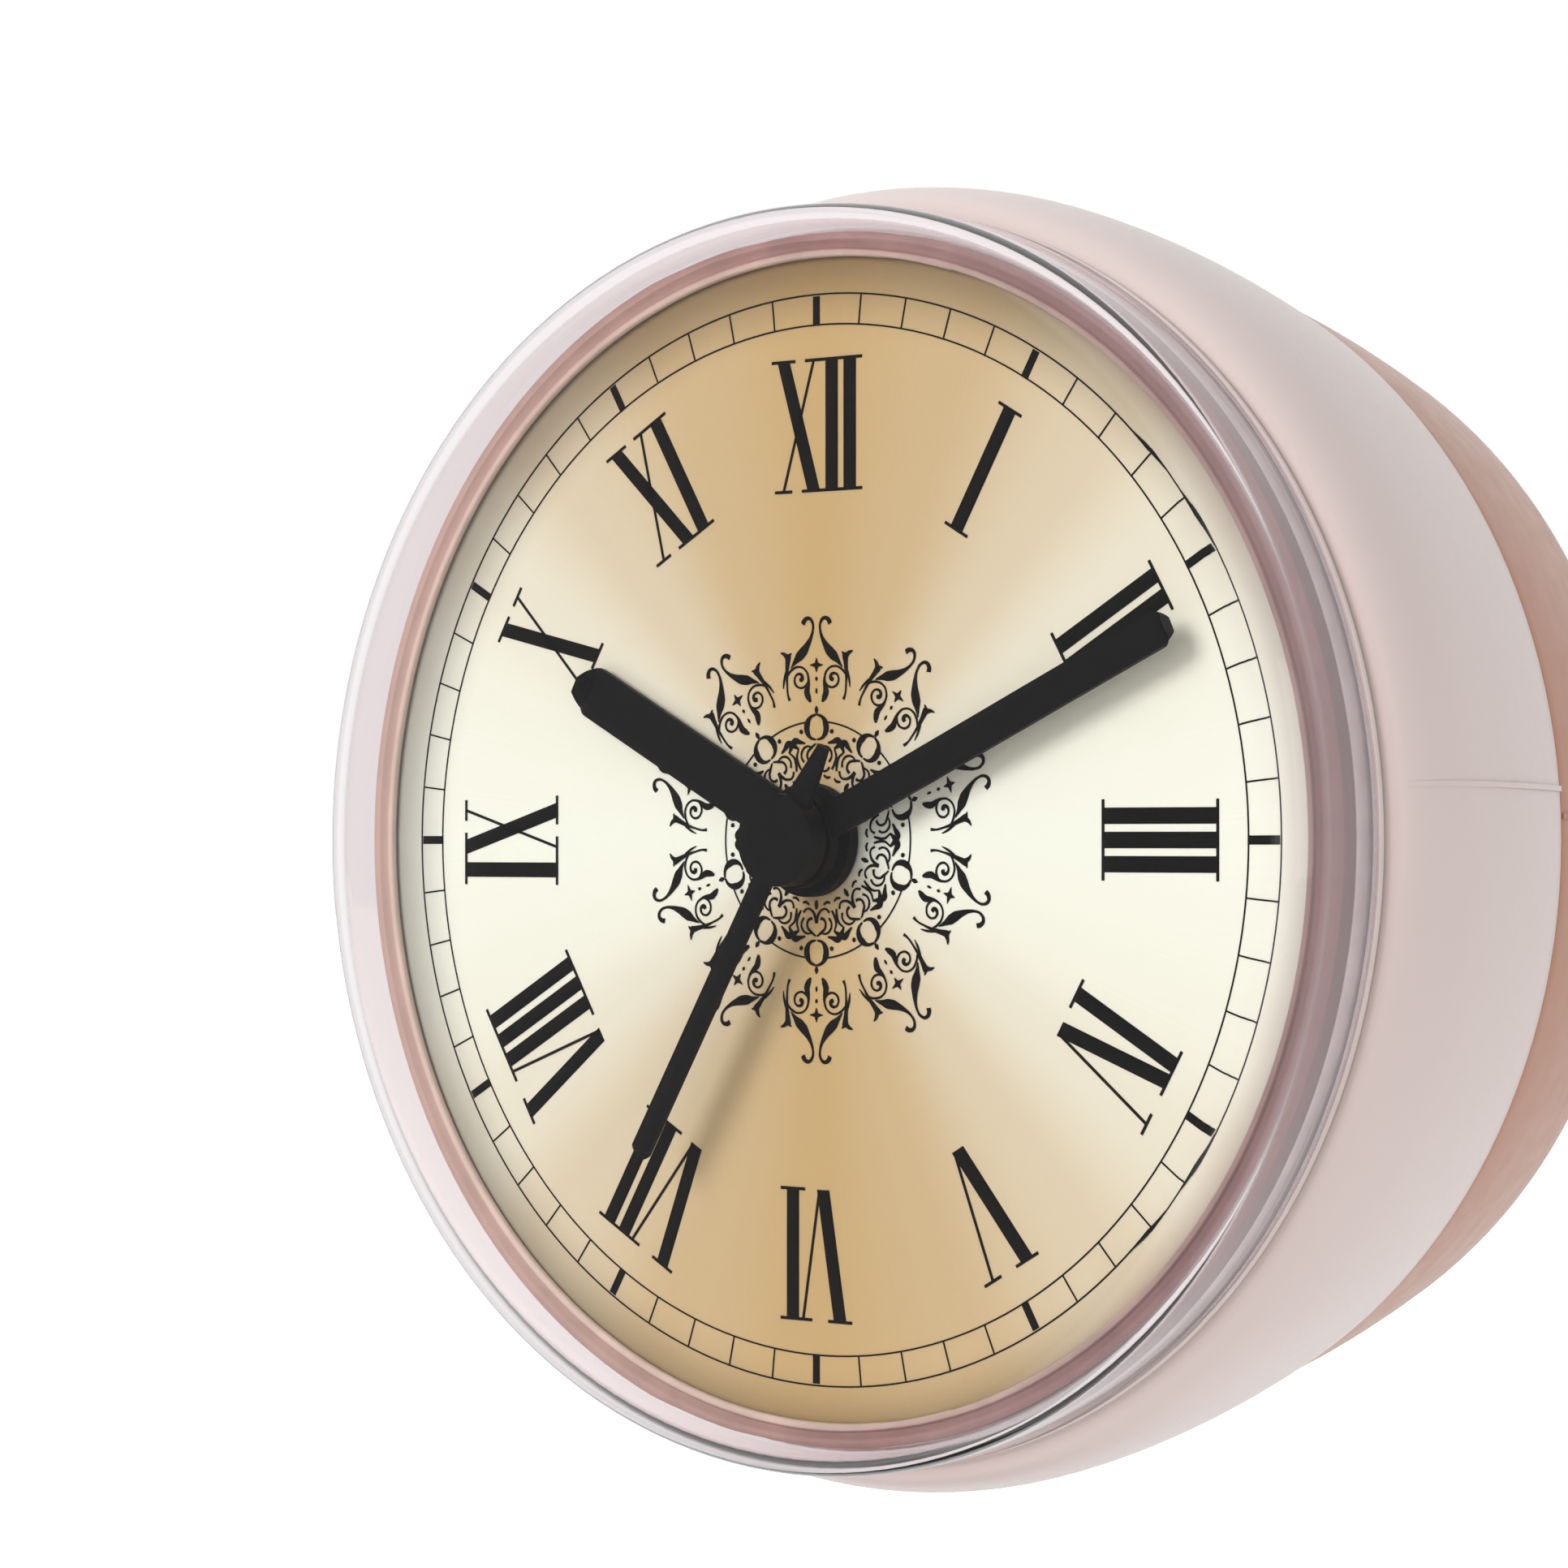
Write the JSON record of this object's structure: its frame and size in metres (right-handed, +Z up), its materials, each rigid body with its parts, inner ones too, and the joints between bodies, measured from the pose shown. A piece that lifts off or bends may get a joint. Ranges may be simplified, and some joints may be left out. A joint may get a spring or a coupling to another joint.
{
  "type": "shower clock",
  "caption": "Round wall clock held by a suction cup: clear lens, gold dial with Roman numerals, swelling barrel, screw-on rear shell and a quartz movement with its gear train.",
  "frame": {"origin": "centre of the suction cup's mounting plane, on the clock's own axis", "axes": "+Y runs from the clock into the wall it hangs on, +Z is up through twelve o'clock, +X is to the right as the dial is read, towards three o'clock"},
  "size_m": [0.072, 0.0504, 0.072],
  "materials": {
    "clear_polycarbonate": "clear, polished",
    "pale_plastic": "pale pearly satin, slightly translucent",
    "rose_plastic": "rose-brown satin",
    "champagne_dial": "champagne sunray brushed, printed",
    "hand_black": "matte black",
    "soft_pvc": "soft translucent",
    "seal_silicone": "matte",
    "white_abs": "matte",
    "black_abs": "matte",
    "gear_acetal": "smooth natural acetal",
    "steel": "plain bright",
    "brass": "plain spring brass",
    "enamelled_copper": "enamelled wire",
    "magnet_ferrite": "dark ferrite",
    "board_laminate": "green laminate"
  },
  "bodies": {
    "back": {"rear_shell": "rose_plastic", "suction_cup": "soft_pvc"},
    "case_seal": {"case_o_ring": "seal_silicone"},
    "case": {"lens": "clear_polycarbonate", "lens_gasket": "seal_silicone", "bezel_ring": "rose_plastic", "barrel_shell": "pale_plastic", "dial_plate": "champagne_dial", "movement_holder": "white_abs", "holder_screw_1": "steel", "holder_screw_2": "steel", "holder_screw_3": "steel", "movement_front_case": "black_abs", "train_bridge": "white_abs", "movement_rear_case": "black_abs", "movement_screw_1": "steel", "movement_screw_2": "steel", "movement_screw_3": "steel", "stator": "steel", "coil_core": "steel", "coil_bobbin": "white_abs", "coil_winding": "enamelled_copper", "circuit_board": "board_laminate", "quartz_crystal": "steel", "clock_chip": "black_abs", "cell_contact_plus": "brass", "cell_contact_minus": "brass"},
    "seconds": {"second_hand": "hand_black", "second_arbor": "steel", "second_wheel": "gear_acetal"},
    "rotor": {"rotor_pinion": "gear_acetal", "rotor_magnet": "magnet_ferrite"},
    "intermediate": {"intermediate_wheel": "gear_acetal"},
    "third": {"third_wheel": "gear_acetal"},
    "centre": {"centre_wheel": "gear_acetal"},
    "minutes": {"minute_hand": "hand_black", "minute_arbor": "gear_acetal", "clutch_spring": "brass"},
    "motion": {"minute_wheel": "gear_acetal"},
    "hours": {"hour_hand": "hand_black", "hour_wheel": "gear_acetal"},
    "setting": {"setting_gear": "gear_acetal", "setting_knob": "white_abs"},
    "cell": {"button_cell": "steel"}
  },
  "joints": [
    {"name": "case_lift", "type": "slide", "parent": "back", "child": "case_seal", "axis": [0, -1, 0], "range_m": [0, 0.0031]},
    {"name": "case_twist", "type": "hinge", "parent": "case_seal", "child": "case", "pos_m": [0, -0.044, 0], "axis": [0, 1, 0], "range_deg": [-120, 0]},
    {"name": "second_hand_spin", "type": "hinge", "parent": "case", "child": "seconds", "pos_m": [0, -0.044, 0], "axis": [0, 1, 0], "continuous": true},
    {"name": "rotor_spin", "type": "hinge", "parent": "case", "child": "rotor", "pos_m": [-0.00622, -0.044, -0.00803], "axis": [0, 1, 0], "continuous": true},
    {"name": "intermediate_spin", "type": "hinge", "parent": "case", "child": "intermediate", "pos_m": [-0.00442, -0.044, -0.0031], "axis": [0, 1, 0], "continuous": true},
    {"name": "third_spin", "type": "hinge", "parent": "case", "child": "third", "pos_m": [0.00382, -0.044, 0.00663], "axis": [0, 1, 0], "continuous": true},
    {"name": "centre_spin", "type": "hinge", "parent": "case", "child": "centre", "pos_m": [0, -0.044, 0], "axis": [0, 1, 0], "continuous": true},
    {"name": "minute_hand_spin", "type": "hinge", "parent": "case", "child": "minutes", "pos_m": [0, -0.044, 0], "axis": [0, 1, 0], "continuous": true},
    {"name": "motion_spin", "type": "hinge", "parent": "case", "child": "motion", "pos_m": [-0.0056, -0.044, 0], "axis": [0, 1, 0], "continuous": true},
    {"name": "hour_hand_spin", "type": "hinge", "parent": "case", "child": "hours", "pos_m": [0, -0.044, 0], "axis": [0, 1, 0], "continuous": true},
    {"name": "setting_spin", "type": "hinge", "parent": "case", "child": "setting", "pos_m": [-0.01005, -0.044, 0.00445], "axis": [0, 1, 0], "continuous": true},
    {"name": "cell_slide", "type": "slide", "parent": "case", "child": "cell", "axis": [0.7071, 0, -0.7071], "range_m": [0, 0.012]}
  ],
  "couplings": [
    {"joint": "case_lift", "follows": "case_twist", "m_per_rad": -0.0014324},
    {"joint": "rotor_spin", "follows": "second_hand_spin", "ratio": 30},
    {"joint": "intermediate_spin", "follows": "second_hand_spin", "ratio": -5},
    {"joint": "third_spin", "follows": "second_hand_spin", "ratio": -0.13333},
    {"joint": "centre_spin", "follows": "second_hand_spin", "ratio": 0.016667},
    {"joint": "motion_spin", "follows": "minute_hand_spin", "ratio": -0.33333},
    {"joint": "hour_hand_spin", "follows": "minute_hand_spin", "ratio": 0.083333},
    {"joint": "setting_spin", "follows": "minute_hand_spin", "ratio": 0.66667}
  ]
}
